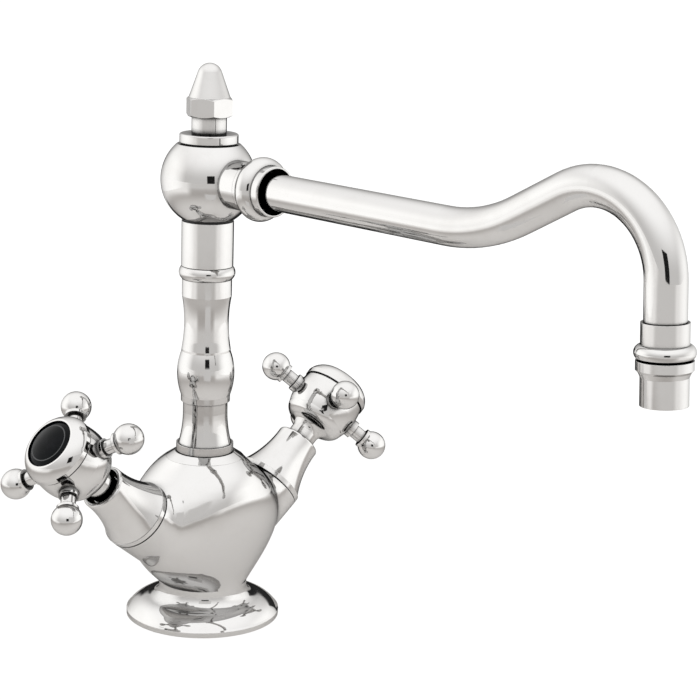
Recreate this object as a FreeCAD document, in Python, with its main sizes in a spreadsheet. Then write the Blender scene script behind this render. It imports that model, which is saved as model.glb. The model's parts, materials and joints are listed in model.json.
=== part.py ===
import FreeCAD
import Part
import math
import os
import Sketcher

# Two-handle mixer faucet with a swan-neck swivel spout, in millimetres.
# +Z is up and the origin is the centre of the foot's underside. The spout points to -Y, the hot
# horn leans to -X and the cold horn to +X. Turned pieces are half profiles of (radius, height).
# Heights on a horn are measured along its axis from the column, and on the spout from the ball.
# Each piece takes its place from the piece that carries it, so the sizes are steps and not levels.

SIZES = {
    # Foot and waist of the casting
    "foot_radius": 31.4,
    "foot_rim": 2.0,
    "foot_edge": 0.6,
    "foot_dome_arc": 11.0,
    "foot_shoulder_inset": 8.4,
    "foot_shoulder_height": 7.2,
    "waist_radius": 18.0,
    "waist_fillet": 5.5,
    "waist_rise": 4.8,
    "waist_height": 2.5,
    # Funnel between the waist and the collar: oval sections, long across the horns
    "funnel_low_rise": 15.5,
    "funnel_low_length": 32.0,
    "funnel_low_width": 22.0,
    "funnel_mid_rise": 15.0,
    "funnel_mid_length": 34.0,
    "funnel_mid_width": 25.5,
    "funnel_high_rise": 10.5,
    "funnel_high_length": 27.7,
    "funnel_high_width": 25.2,
    "funnel_top_rise": 11.7,
    "body_top_radius": 15.8,
    # Horns
    "horn_angle": 41.3,
    "horn_root": 17.9,
    "horn_root_radius": 11.5,
    "horn_radius": 14.3,
    "horn_blend": 9.0,
    "seat_reach": 46.0,
    "cartridge_bore": 8.8,
    "cartridge_depth": 18.0,
    "waterway_radius": 4.0,
    "waterway_start": 8.0,
    # Openings of the underside
    "inlet_radius": 4.45,
    "inlet_overlap": 0.8,
    "inlet_offset": 7.5,
    "inlet_forward": 4.0,
    "stud_radius": 3.4,
    "stud_depth": 16.0,
    "stud_back": 9.5,
    "gasket_inset": 2.9,
    "gasket_width": 3.5,
    "gasket_depth": 1.5,
    # Mixing chamber
    "chamber_radius": 6.0,
    "chamber_depth": 25.2,
    "chamber_cross_rise": 4.0,
    "chamber_cross_radius": 3.0,
    "chamber_cross_reach": 22.0,
    "column_thread": 9.0,
    "column_thread_depth": 10.0,
    # Collar and column, from the bottom up
    "collar_height": 2.4,
    "collar_top_radius": 12.2,
    "plate_radius": 11.6,
    "plate_height": 3.4,
    "cavetto_height": 13.0,
    "cavetto_flare": 1.7,
    "cavetto_inset": 1.0,
    "cavetto_neck": 4.6,
    "band_inset": 0.1,
    "band_height": 2.4,
    "barrel_height": 18.3,
    "barrel_swell": 1.65,
    "fillet_height": 0.9,
    "scotia_height": 21.8,
    "scotia_depth": 1.0,
    "neck_radius": 10.0,
    "neck_height": 6.8,
    "bead_height": 5.4,
    "bead_bulge": 1.3,
    "column_bore": 6.0,
    "spigot_socket_depth": 21.7,
    # Sleeve, ball hub and swivel
    "sleeve_step": 0.4,
    "sleeve_height": 18.0,
    "lower_washer": 0.8,
    "upper_washer": 0.6,
    "washer_width": 2.2,
    "ball_radius": 18.9,
    "ball_bottom_cut": 15.65,
    "ball_top_cut": 14.1,
    "ball_chamber_depth": 3.0,
    "ball_chamber_half": 5.2,
    "spigot_radius": 7.5,
    "spigot_thread_step": 0.5,
    "spigot_wall": 2.2,
    "spigot_bore_rise": 7.3,
    "window_radius": 2.6,
    "o_ring_offset": 10.3,
    "o_ring_depth": 1.1,
    "o_ring_width": 1.2,
    "stem_radius": 4.0,
    "stem_height": 14.5,
    # Retaining flange and finial
    "flange_radius": 11.6,
    "flange_height": 3.5,
    "flange_round": 0.7,
    "flange_neck_wall": 2.9,
    "flange_neck_height": 6.7,
    "hex_radius": 9.6,
    "hex_height": 7.4,
    "hex_chamfer": 1.3,
    "acorn_inset": 0.1,
    "acorn_height": 13.4,
    "acorn_tip_radius": 4.6,
    "acorn_tip_height": 3.2,
    # Cartridge of a horn, from its seat
    "cartridge_nose_gap": 0.8,
    "cartridge_nose_wall": 1.15,
    "cartridge_thread_length": 8.5,
    "cartridge_washer": 0.8,
    "cartridge_hex_step": 2.5,
    "cartridge_hex_height": 3.0,
    "cartridge_guide_wall": 2.55,
    "cartridge_window": 2.2,
    "disc_step": 0.9,
    "disc_thickness": 2.2,
    "disc_port": 1.5,
    "disc_port_offset": 3.0,
    "seal_height": 3.0,
    "seal_width": 1.6,
    "spindle_radius": 4.9,
    "spindle_foot_height": 5.2,
    "spline_step": 1.05,
    "spindle_seal_drop": 8.5,
    "spindle_seal_depth": 1.0,
    "clip_thickness": 0.8,
    "clip_width": 1.85,
    "clip_depth": 0.6,
    # Bonnet
    "bonnet_height": 24.2,
    "bonnet_seam": 0.6,
    "bonnet_rim": 2.6,
    "bonnet_rim_step": 0.25,
    "bonnet_wall": 2.0,
    "bonnet_hex_gap": 0.3,
    "bonnet_thread_drop": 14.2,
    "bonnet_thread_length": 5.0,
    "bonnet_mouth_gap": 0.3,
    "bonnet_lip": 1.5,
    "bonnet_round": 1.1,
    "bonnet_arc": 45.0,
    "bonnet_guide_drop": 3.7,
    # Cross handle, from the bonnet's mouth up
    "hub_inset": 1.6,
    "hub_seat_gap": 0.3,
    "hub_neck_gap": 1.8,
    "hub_neck_height": 5.9,
    "hub_cove": 4.2,
    "hub_cove_height": 3.7,
    "hub_cove_flare": 2.8,
    "hub_bell": 5.4,
    "hub_bell_inset": 1.4,
    "hub_bell_height": 4.4,
    "hub_radius": 14.8,
    "hub_side_arc": 18.0,
    "hub_side_height": 6.7,
    "hub_crown_arc": 36.0,
    "hub_crown_height": 6.7,
    "hub_crown_inset": 0.7,
    "hub_web_drop": 5.3,
    "hub_web": 2.0,
    "hub_web_gap": 0.4,
    "hub_wall": 3.8,
    "arm_count": 4,
    "arm_radius": 2.9,
    "arm_collar": 3.9,
    "arm_collar_reach": 1.8,
    "arm_ring": 4.3,
    "arm_ring_width": 1.2,
    "arm_ball": 6.0,
    "arm_reach": 12.1,
    "hot_arm_turn": 36.6,
    "cold_arm_turn": 56.8,
    # Bezel, index button and screw
    "bezel_groove": 1.1,
    "bezel_groove_height": 0.7,
    "bezel_inset": 0.3,
    "bezel_band": 2.8,
    "bezel_height": 7.4,
    "bezel_dome": 8.0,
    "bezel_skirt": 3.5,
    "bezel_skirt_wall": 1.9,
    "button_inset": 4.8,
    "button_seat": 3.2,
    "button_side": 3.4,
    "button_crown": 2.4,
    "screw_radius": 2.2,
    "screw_head_step": 1.4,
    "screw_head_height": 2.8,
    "screw_length": 11.0,
    "screw_runout": 1.0,
    "screw_socket": 1.7,
    "screw_socket_depth": 1.6,
    # Union and spout, from the ball outwards
    "boss_radius": 9.6,
    "boss_length": 6.5,
    "boss_thread_step": 0.7,
    "boss_thread_length": 4.1,
    "boss_bore": 5.5,
    "union_rim": 0.4,
    "union_rim_width": 2.0,
    "union_bead_width": 8.2,
    "union_bead_bulge": 2.5,
    "union_lip_wall": 0.85,
    "union_lip_width": 3.7,
    "union_lip_round": 0.6,
    "union_recess_gap": 1.9,
    "union_recess_depth": 5.0,
    "seal_thickness": 0.9,
    "tube_radius": 7.1,
    "tube_wall": 1.3,
    "tube_collar_step": 1.6,
    "tube_collar_width": 2.5,
    "tube_straight": 128.4,
    "tube_rise_arc": 70.0,
    "tube_rise_angle": 28.6,
    "tube_slope": 22.1,
    "tube_crown_arc": 28.8,
    "tube_drop": 20.5,
    "tube_lean": 3.6,
    # Nozzle, from the tube's end down
    "nozzle_grip": 7.6,
    "nozzle_sleeve_wall": 0.85,
    "nozzle_bead_rise": 0.4,
    "nozzle_bead_width": 5.2,
    "nozzle_bead_bulge": 2.15,
    "nozzle_stop": 0.5,
    "nozzle_ring_step": 1.5,
    "nozzle_ring_height": 3.9,
    "nozzle_ring_round": 0.8,
    "nozzle_taper": 1.6,
    "nozzle_thread_length": 3.4,
    "outlet_length": 9.4,
    "outlet_wall": 1.6,
    "outlet_lip": 0.5,
    "outlet_lip_height": 3.7,
    "throat_wall": 1.3,
    "aerator_height": 7.0,
    "aerator_hole": 1.1,
    "aerator_middle": 1.6,
    "aerator_hole_ring": 4.2,
    "aerator_hole_count": 8,
    "aerator_washer_height": 1.5,
    "aerator_washer_width": 1.8,
    # Fits
    "thread_fit": 0.05,
    "running_fit": 0.05,
    "slip_gap": 0.05,
    "tool_overshoot": 1.0,
}

LEFT = 1
RIGHT = -1
HEX_SIDE = math.sqrt(3) / 2
FULL_TURN = 360
SHEET = "Sizes"


class Size:
    """A length or angle that keeps both its number and the sheet expression behind it."""

    def __init__(self, value, text):
        self.value = value
        self.text = text

    def join(self, other, sign, value):
        return Size(value, f"({self.text} {sign} {as_size(other).text})")

    def __add__(self, other):
        return self.join(other, "+", self.value + as_size(other).value)

    def __sub__(self, other):
        return self.join(other, "-", self.value - as_size(other).value)

    def __mul__(self, other):
        return self.join(other, "*", self.value * as_size(other).value)

    def __truediv__(self, other):
        return self.join(other, "/", self.value / as_size(other).value)

    def __neg__(self):
        return Size(-self.value, f"(0 - {self.text})")


def as_size(number):
    """Wrap a plain number so that it can be mixed with sizes."""
    if isinstance(number, Size):
        return number
    return Size(float(number), repr(number))


def root(size):
    return Size(math.sqrt(size.value), f"sqrt({size.text})")


def sine(angle):
    return Size(math.sin(math.radians(angle.value)), f"sin({angle.text})")


def cosine(angle):
    return Size(math.cos(math.radians(angle.value)), f"cos({angle.text})")


def bulge_arc(chord, bulge):
    """Radius of the arc that stands out from its chord by bulge."""
    return (chord * chord / 4 + bulge * bulge) / (bulge * 2)


def quarter_arc(wide, high):
    """Radius of the arc over a width and a height that ends square to its height."""
    return (wide * wide + high * high) / (high * 2)


class Named:
    """The driving sizes, one attribute for each cell of the sheet."""


doc = FreeCAD.newDocument("mixer_faucet")
sheet = doc.addObject("Spreadsheet::Sheet", SHEET)
dim = Named()
for row, (alias, number) in enumerate(SIZES.items(), start=1):
    sheet.set(f"A{row}", alias)
    sheet.set(f"B{row}", str(number))
    sheet.setAlias(f"B{row}", alias)
    setattr(dim, alias, Size(float(number), f"{SHEET}.{alias}"))
doc.recompute()

subparts = []


# Drawing and features


def bind(thing, prop, size):
    """Tie a property to the sheet, or set it where it is a plain number."""
    if isinstance(size, Size):
        thing.setExpression(prop, size.text)
    else:
        setattr(thing, prop, size)


def bind_place(thing, letter, size):
    thing.setExpression(f"Placement.Base.{letter}", as_size(size).text)


def line_to(x, y):
    return (x, y, None, 0)


def arc_to(x, y, radius, turn):
    return (x, y, radius, turn)


def arc_between(first, last, radius, turn):
    """A minor arc from first to last, with its centre on the turn side of the chord."""
    chord = last - first
    half = chord.Length / 2
    aside = FreeCAD.Vector(-chord.y, chord.x, 0).normalize() * turn
    centre = (first + last) / 2 + aside * math.sqrt(max(radius * radius - half * half, 0.0))
    begin, end = (first, last) if turn == LEFT else (last, first)
    angles = [math.atan2(p.y - centre.y, p.x - centre.x) for p in (begin, end)]
    circle = Part.Circle(centre, FreeCAD.Vector(0, 0, 1), radius)
    return Part.ArcOfCircle(circle, *angles)


def constrain(sketch, kind, place, size):
    """Add one dimension to a sketch and tie it to the sheet."""
    index = sketch.addConstraint(Sketcher.Constraint(kind, *place, as_size(size).value))
    if isinstance(size, Size):
        sketch.setExpression(f"Constraints[{index}]", size.text)


def draw(sketch, start, steps, closed=True):
    """Draw an outline whose corners and arc radii are all tied to the sheet."""
    corners = [start] + [step[:2] for step in steps]
    curves = [step[2:] for step in steps]
    if closed:
        curves.append((None, 0))
    points = [FreeCAD.Vector(as_size(x).value, as_size(y).value, 0) for x, y in corners]
    first = sketch.GeometryCount
    ends = []
    rules = []
    for i, (radius, turn) in enumerate(curves):
        here, there = points[i], points[(i + 1) % len(points)]
        if radius is None:
            sketch.addGeometry(Part.LineSegment(here, there), False)
        else:
            sketch.addGeometry(arc_between(here, there, radius.value, turn), False)
            rules.append(("Radius", (first + i,), radius))
        ends.append((2, 1) if turn == RIGHT else (1, 2))
    joints = len(curves) if closed else len(curves) - 1
    for i in range(joints):
        j = (i + 1) % len(curves)
        pair = (first + i, ends[i][1], first + j, ends[j][0])
        sketch.addConstraint(Sketcher.Constraint("Coincident", *pair))
    for i, (x, y) in enumerate(corners):
        at = (first + i, ends[i][0]) if i < len(curves) else (first + i - 1, ends[i - 1][1])
        rules.append(("DistanceX", (-1, 1, *at), x))
        rules.append(("DistanceY", (-1, 1, *at), y))
    for kind, place, size in rules:
        constrain(sketch, kind, place, size)


def ring_of(sketch, centre_x, centre_y, radius):
    """Draw one circle tied to the sheet."""
    middle = FreeCAD.Vector(as_size(centre_x).value, as_size(centre_y).value, 0)
    circle = Part.Circle(middle, FreeCAD.Vector(0, 0, 1), radius.value)
    edge = sketch.addGeometry(circle, False)
    constrain(sketch, "Radius", (edge,), radius)
    constrain(sketch, "DistanceX", (-1, 1, edge, 3), centre_x)
    constrain(sketch, "DistanceY", (-1, 1, edge, 3), centre_y)


def new_sketch(body, name, role, lift=None, turn=None):
    """A sketch on one of the body's own planes, lifted from it and turned about its upright."""
    sketch = body.newObject("Sketcher::SketchObject", name)
    plane = [item for item in body.Origin.OriginFeatures if item.Role == role][0]
    sketch.AttachmentSupport = [(plane, "")]
    sketch.MapMode = "FlatFace"
    if turn is not None:
        rotation = FreeCAD.Rotation(FreeCAD.Vector(0, 1, 0), turn.value)
        sketch.AttachmentOffset = FreeCAD.Placement(FreeCAD.Vector(), rotation)
        sketch.setExpression("AttachmentOffset.Rotation.Angle", turn.text)
    for letter, size in (lift or {}).items():
        sketch.setExpression(f"AttachmentOffset.Base.{letter}", size.text)
    return sketch


def revolve(body, name, sketch, axis="V_Axis", cut=False):
    """Turn a sketch about one of its axes, as material or as a cut."""
    kind = "PartDesign::Groove" if cut else "PartDesign::Revolution"
    feature = body.newObject(kind, name)
    feature.Profile = sketch
    feature.ReferenceAxis = (sketch, [axis])
    feature.Angle = FULL_TURN
    return feature


def pad(body, name, sketch, length):
    """Extrude a sketch along its normal."""
    feature = body.newObject("PartDesign::Pad", name)
    feature.Profile = sketch
    bind(feature, "Length", length)
    return feature


def pocket(body, name, sketch, length, through=False):
    """Cut along a sketch's normal, or to both sides of it."""
    feature = body.newObject("PartDesign::Pocket", name)
    feature.Profile = sketch
    feature.Reversed = not through
    feature.Midplane = through
    bind(feature, "Length", length)
    return feature


def polar(body, name, feature, count):
    """Repeat a feature around the body's own Z axis."""
    pattern = body.newObject("PartDesign::PolarPattern", name)
    axis = [item for item in body.Origin.OriginFeatures if item.Role == "Z_Axis"][0]
    pattern.Originals = [feature]
    pattern.Axis = (axis, [""])
    pattern.Angle = FULL_TURN
    bind(pattern, "Occurrences", count)
    body.Tip = pattern


def new_body(label, keep=True):
    body = doc.addObject("PartDesign::Body", label)
    body.Label = label
    if keep:
        subparts.append(body)
    return body


def turned(label, start, steps, keep=True):
    """A turned piece from its half profile."""
    body = new_body(label, keep)
    sketch = new_sketch(body, label + "_profile", "XZ_Plane")
    draw(sketch, start, steps)
    revolve(body, label + "_turned", sketch)
    return body


def tube_steps(outer, inner, bottom, top):
    """Half profile of a plain ring or tube."""
    return (inner, bottom), [line_to(outer, bottom), line_to(outer, top), line_to(inner, top)]


def torus(label, outer, inner, height):
    """An O-ring between two radii."""
    body = new_body(label)
    sketch = new_sketch(body, label + "_profile", "XZ_Plane")
    ring_of(sketch, (outer + inner) / 2, height, (outer - inner) / 2)
    revolve(body, label + "_turned", sketch)
    return body


def hexagon(sketch, radius):
    side = radius * HEX_SIDE
    half = radius / 2
    corners = [(half, side), (-half, side), (-radius, 0), (-half, -side), (half, -side)]
    draw(sketch, (radius, 0), [line_to(x, y) for x, y in corners])


def cylinder(name, radius, length, place, turn=None):
    """A plain cylinder used as a tool, with its base at place."""
    tool = doc.addObject("Part::Cylinder", name)
    bind(tool, "Radius", radius)
    bind(tool, "Height", length)
    if turn is not None:
        tool.Placement = FreeCAD.Placement(FreeCAD.Vector(), turn)
    for letter, size in place.items():
        bind_place(tool, letter, size)
    return tool


def join(name, pieces):
    union = doc.addObject("Part::MultiFuse", name)
    union.Shapes = pieces
    return union


# Places


def on_horn(thing, side):
    """Stand a piece on a horn: its own Z runs outwards along the horn's axis."""
    lean = as_size(90) - dim.horn_angle
    axis = FreeCAD.Vector(0, side, 0)
    base = FreeCAD.Vector(0, 0, dim.horn_root.value)
    thing.Placement = FreeCAD.Placement(base, FreeCAD.Rotation(axis, lean.value))
    bind_place(thing, "z", dim.horn_root)
    thing.setExpression("Placement.Rotation.Angle", lean.text)


def on_spout(thing):
    """Lay a piece on the spout's root: its own Z runs forwards from the ball's centre."""
    turn = FreeCAD.Rotation(FreeCAD.Vector(1, 0, 0), 90)
    thing.Placement = FreeCAD.Placement(FreeCAD.Vector(0, 0, ball_height.value), turn)
    bind_place(thing, "z", ball_height)


def on_nozzle(thing):
    """Stand a piece on the outlet's axis, which leans outwards about the middle of the crown."""
    turn = FreeCAD.Rotation(FreeCAD.Vector(-1, 0, 0), dim.tube_lean.value)
    thing.Placement = FreeCAD.Placement(FreeCAD.Vector(), turn)
    thing.setExpression("Placement.Rotation.Angle", dim.tube_lean.text)
    bind_place(thing, "y", -crown_end_reach - crown_middle * sine(dim.tube_lean))
    bind_place(thing, "z", crown_end_height - crown_middle * cosine(dim.tube_lean))


# Levels of the casting and the column

foot_shoulder = dim.foot_radius - dim.foot_shoulder_inset
waist_bottom = dim.foot_shoulder_height + dim.waist_rise
waist_top = waist_bottom + dim.waist_height
funnel_low = waist_top + dim.funnel_low_rise
funnel_mid = funnel_low + dim.funnel_mid_rise
funnel_high = funnel_mid + dim.funnel_high_rise
body_top = funnel_high + dim.funnel_top_rise
thread_floor = body_top - dim.column_thread_depth
chamber_floor = body_top - dim.chamber_depth
gasket_outer = dim.foot_radius - dim.gasket_inset
gasket_inner = gasket_outer - dim.gasket_width
inlet_depth = dim.horn_root + dim.waterway_start * sine(dim.horn_angle) + dim.inlet_overlap
column_foot = body_top + dim.collar_height
plate_top = column_foot + dim.plate_height
cavetto_top = plate_top + dim.cavetto_height
band_bottom = cavetto_top + dim.cavetto_neck
barrel_bottom = band_bottom + dim.band_height
barrel_top = barrel_bottom + dim.barrel_height
scotia_bottom = barrel_top + dim.fillet_height
scotia_top = scotia_bottom + dim.scotia_height
bead_bottom = scotia_top + dim.neck_height
column_top = bead_bottom + dim.bead_height

# Levels of the swivel

sleeve_top = column_top + dim.sleeve_height
ball_bottom = sleeve_top + dim.lower_washer + dim.slip_gap
ball_height = ball_bottom + dim.ball_bottom_cut
ball_top = ball_height + dim.ball_top_cut
flange_seat = ball_top + dim.slip_gap + dim.upper_washer
flange_top = flange_seat + dim.flange_height
finial_seat = flange_top + dim.flange_neck_height
stem_top = flange_seat + dim.stem_height
spigot_thread = dim.spigot_radius - dim.spigot_thread_step
spigot_floor = column_top - dim.spigot_socket_depth
o_ring_seat = dim.spigot_radius - dim.o_ring_depth
o_ring_heights = (ball_height - dim.o_ring_offset, ball_height + dim.o_ring_offset)

# Levels along a horn

cartridge_floor = dim.seat_reach - dim.cartridge_depth
cartridge_hex = dim.seat_reach + dim.cartridge_washer
cartridge_hex_radius = dim.cartridge_bore + dim.cartridge_hex_step
cartridge_guide = dim.spindle_radius + dim.running_fit + dim.cartridge_guide_wall
bonnet_top = dim.seat_reach + dim.bonnet_height
bonnet_mouth = cartridge_guide + dim.bonnet_mouth_gap
cartridge_top = bonnet_top - dim.bonnet_guide_drop
disc_radius = dim.spindle_radius + dim.disc_step
disc_bottom = cartridge_floor + dim.seal_height
moving_disc_bottom = disc_bottom + dim.disc_thickness + dim.slip_gap
spindle_foot = moving_disc_bottom + dim.disc_thickness
spindle_seal = cartridge_top - dim.spindle_seal_drop
spindle_seal_seat = dim.spindle_radius - dim.spindle_seal_depth
spline_radius = dim.spindle_radius - dim.spline_step
clip_seat = dim.spindle_radius - dim.clip_depth
hub_bottom = bonnet_top - dim.hub_inset
hub_neck_radius = bonnet_mouth - dim.hub_neck_gap
hub_neck_top = hub_bottom + dim.hub_neck_height
hub_cove_top = hub_neck_top + dim.hub_cove_height
hub_bell_top = hub_cove_top + dim.hub_bell_height
hub_middle = hub_bell_top + dim.hub_side_height
hub_top = hub_middle + dim.hub_crown_height
hub_web_bottom = hub_middle - dim.hub_web_drop
hub_web_top = hub_web_bottom + dim.hub_web
hub_cavity = dim.hub_radius - dim.hub_wall
spindle_top = hub_web_bottom - dim.hub_web_gap
button_radius = dim.hub_radius - dim.button_inset

# Reaches along the spout and levels of the nozzle

boss_step = dim.ball_radius + dim.boss_length
boss_end = boss_step + dim.boss_thread_length
boss_thread = dim.boss_radius - dim.boss_thread_step
tube_start = boss_end + dim.seal_thickness
tube_bore = dim.tube_radius - dim.tube_wall
tube_collar = dim.tube_radius + dim.tube_collar_step
rise_reach = dim.tube_straight + dim.tube_rise_arc * sine(dim.tube_rise_angle)
rise_height = ball_height + dim.tube_rise_arc * (as_size(1) - cosine(dim.tube_rise_angle))
slope_reach = rise_reach + dim.tube_slope * cosine(dim.tube_rise_angle)
slope_height = rise_height + dim.tube_slope * sine(dim.tube_rise_angle)
crown_reach = slope_reach + dim.tube_crown_arc * sine(dim.tube_rise_angle)
crown_middle = slope_height - dim.tube_crown_arc * cosine(dim.tube_rise_angle)
crown_end_reach = crown_reach + dim.tube_crown_arc * cosine(dim.tube_lean)
crown_end_height = crown_middle + dim.tube_crown_arc * sine(dim.tube_lean)
drop_reach = crown_end_reach + dim.tube_drop * sine(dim.tube_lean)
drop_height = crown_end_height - dim.tube_drop * cosine(dim.tube_lean)
tube_end = crown_middle - dim.tube_drop
nozzle_bottom = tube_end + dim.nozzle_bead_rise - dim.nozzle_bead_width
nozzle_sleeve = dim.tube_radius + dim.thread_fit + dim.nozzle_sleeve_wall
nozzle_thread = dim.tube_radius - dim.nozzle_stop
ring_bottom = nozzle_bottom - dim.nozzle_ring_height
taper_bottom = ring_bottom - dim.nozzle_taper
outlet_bottom = taper_bottom - dim.outlet_length
outlet_bore = nozzle_sleeve - dim.outlet_wall
aerator_bottom = outlet_bottom + dim.outlet_lip_height
aerator_top = aerator_bottom + dim.aerator_height
aerator_washer_top = aerator_top + dim.aerator_washer_height


# Casting


def foot_and_waist():
    return turned("foot_and_waist", (0, 0), [
        line_to(dim.foot_radius, 0),
        line_to(dim.foot_radius, dim.foot_rim),
        line_to(dim.foot_radius - dim.foot_edge, dim.foot_rim + dim.foot_edge),
        arc_to(foot_shoulder, dim.foot_shoulder_height, dim.foot_dome_arc, LEFT),
        arc_to(dim.waist_radius, waist_bottom, dim.waist_fillet, RIGHT),
        line_to(dim.waist_radius, waist_top),
        line_to(0, waist_top),
    ], keep=False)


def oval(name, height, length, width):
    """An oval section of the funnel, long across the horns."""
    section = doc.addObject("Part::Ellipse", name)
    bind(section, "MajorRadius", length)
    bind(section, "MinorRadius", width)
    bind_place(section, "z", height)
    return section


def funnel():
    loft = doc.addObject("Part::Loft", "funnel")
    loft.Sections = [
        oval("funnel_waist", waist_top, dim.waist_radius, dim.waist_radius),
        oval("funnel_low", funnel_low, dim.funnel_low_length, dim.funnel_low_width),
        oval("funnel_mid", funnel_mid, dim.funnel_mid_length, dim.funnel_mid_width),
        oval("funnel_high", funnel_high, dim.funnel_high_length, dim.funnel_high_width),
        oval("funnel_top", body_top, dim.body_top_radius, dim.body_top_radius),
    ]
    loft.Solid = True
    return loft


def horn(name, side):
    boss = doc.addObject("Part::Cone", name)
    bind(boss, "Radius1", dim.horn_root_radius)
    bind(boss, "Radius2", dim.horn_radius)
    bind(boss, "Height", dim.seat_reach)
    on_horn(boss, side)
    return boss


def blended(solid):
    """Round off the seams where the horns leave the funnel."""
    doc.recompute()
    shape = solid.Shape
    seam = {"Part::GeomBSplineSurface", "Part::GeomCone"}
    corners = []
    for number, edge in enumerate(shape.Edges, start=1):
        faces = shape.ancestorsOfType(edge, Part.Face)
        if {face.Surface.TypeId for face in faces} == seam:
            corners.append((number, dim.horn_blend.value, dim.horn_blend.value))
    blend = doc.addObject("Part::Fillet", "casting_blend")
    blend.Base = solid
    blend.Edges = corners
    return blend


def horn_waterway(name, side):
    """Cartridge bore of a horn, the passage that feeds it and the room the bonnet screws into."""
    tool = turned(name, (0, dim.waterway_start), [
        line_to(dim.waterway_radius, dim.waterway_start),
        line_to(dim.waterway_radius, cartridge_floor),
        line_to(dim.cartridge_bore, cartridge_floor),
        line_to(dim.cartridge_bore, dim.seat_reach),
        line_to(dim.horn_radius, dim.seat_reach),
        line_to(dim.horn_radius, bonnet_top),
        line_to(0, bonnet_top),
    ], keep=False)
    on_horn(tool, side)
    return tool


def mixing_chamber():
    thread = dim.column_thread + dim.thread_fit
    mouth = body_top + dim.tool_overshoot
    return turned("mixing_chamber", (0, chamber_floor), [
        line_to(dim.chamber_radius, chamber_floor),
        line_to(dim.chamber_radius, thread_floor),
        line_to(thread, thread_floor),
        line_to(thread, mouth),
        line_to(0, mouth),
    ], keep=False)


def chamber_cross():
    """Passage from horn to horn through the mixing chamber."""
    across = FreeCAD.Rotation(FreeCAD.Vector(0, 1, 0), 90)
    place = {"x": -dim.chamber_cross_reach, "z": chamber_floor + dim.chamber_cross_rise}
    length = dim.chamber_cross_reach * 2
    return cylinder("chamber_cross", dim.chamber_cross_radius, length, place, across)


def underside_openings():
    """Two threaded inlets, the threaded stud hole and the gasket's groove."""
    over = dim.tool_overshoot
    tools = []
    for name, side in (("hot_inlet", -1), ("cold_inlet", 1)):
        place = {"x": dim.inlet_offset * side, "y": -dim.inlet_forward, "z": -over}
        tools.append(cylinder(name, dim.inlet_radius, inlet_depth + over, place))
    place = {"y": dim.stud_back, "z": -over}
    tools.append(cylinder("stud_hole", dim.stud_radius, dim.stud_depth + over, place))
    profile = tube_steps(gasket_outer, gasket_inner, -over, dim.gasket_depth)
    tools.append(turned("gasket_groove", *profile, keep=False))
    return tools


def body_casting():
    """Foot, funnel and horns as one casting, hollowed for the water and the cartridges."""
    horned = [funnel(), horn("hot_horn", -1), horn("cold_horn", 1)]
    solids = [foot_and_waist(), blended(join("funnel_and_horns", horned))]
    tools = [horn_waterway("hot_waterway", -1), horn_waterway("cold_waterway", 1)]
    tools += [mixing_chamber(), chamber_cross()] + underside_openings()
    casting = doc.addObject("Part::Cut", "body_casting")
    casting.Base = join("casting_solid", solids)
    casting.Tool = join("casting_hollow", tools)
    casting.Label = "body_casting"
    subparts.append(casting)


def base_gasket():
    fit = dim.slip_gap
    profile = tube_steps(gasket_outer - fit, gasket_inner + fit, 0, dim.gasket_depth)
    turned("base_gasket", *profile)


# Column


def body_collar():
    bore = dim.column_thread + dim.thread_fit
    turned("body_collar", (bore, body_top), [
        line_to(dim.body_top_radius, body_top),
        line_to(dim.collar_top_radius, column_foot),
        line_to(bore, column_foot),
    ])


def column_shaft():
    """Threaded spigot, foot plate, cove, barrel, hollow-sided neck and bead in one turning."""
    thread_bottom = thread_floor + dim.slip_gap
    socket = spigot_thread + dim.thread_fit
    cove = dim.neck_radius - dim.cavetto_inset
    band = dim.neck_radius - dim.band_inset
    barrel = bulge_arc(dim.barrel_height, dim.barrel_swell)
    cavetto = quarter_arc(dim.cavetto_height, dim.cavetto_flare)
    scotia = bulge_arc(dim.scotia_height, dim.scotia_depth)
    bead = bulge_arc(dim.bead_height, dim.bead_bulge)
    turned("column_shaft", (dim.column_bore, thread_bottom), [
        line_to(dim.column_thread, thread_bottom),
        line_to(dim.column_thread, column_foot),
        line_to(dim.plate_radius, column_foot),
        line_to(dim.plate_radius, plate_top),
        line_to(cove + dim.cavetto_flare, plate_top),
        arc_to(cove, cavetto_top, cavetto, RIGHT),
        line_to(cove, band_bottom),
        line_to(band, band_bottom),
        line_to(band, barrel_bottom),
        arc_to(band, barrel_top, barrel, LEFT),
        line_to(band, scotia_bottom),
        arc_to(dim.neck_radius, scotia_top, scotia, RIGHT),
        line_to(dim.neck_radius, bead_bottom),
        arc_to(dim.neck_radius, column_top, bead, LEFT),
        line_to(socket, column_top),
        line_to(socket, spigot_floor),
        line_to(dim.column_bore, spigot_floor),
    ])


def sleeve_tube():
    outer = dim.neck_radius + dim.sleeve_step
    bore = dim.spigot_radius + dim.thread_fit
    turned("sleeve_tube", *tube_steps(outer, bore, column_top, sleeve_top))


# Swivel


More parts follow.
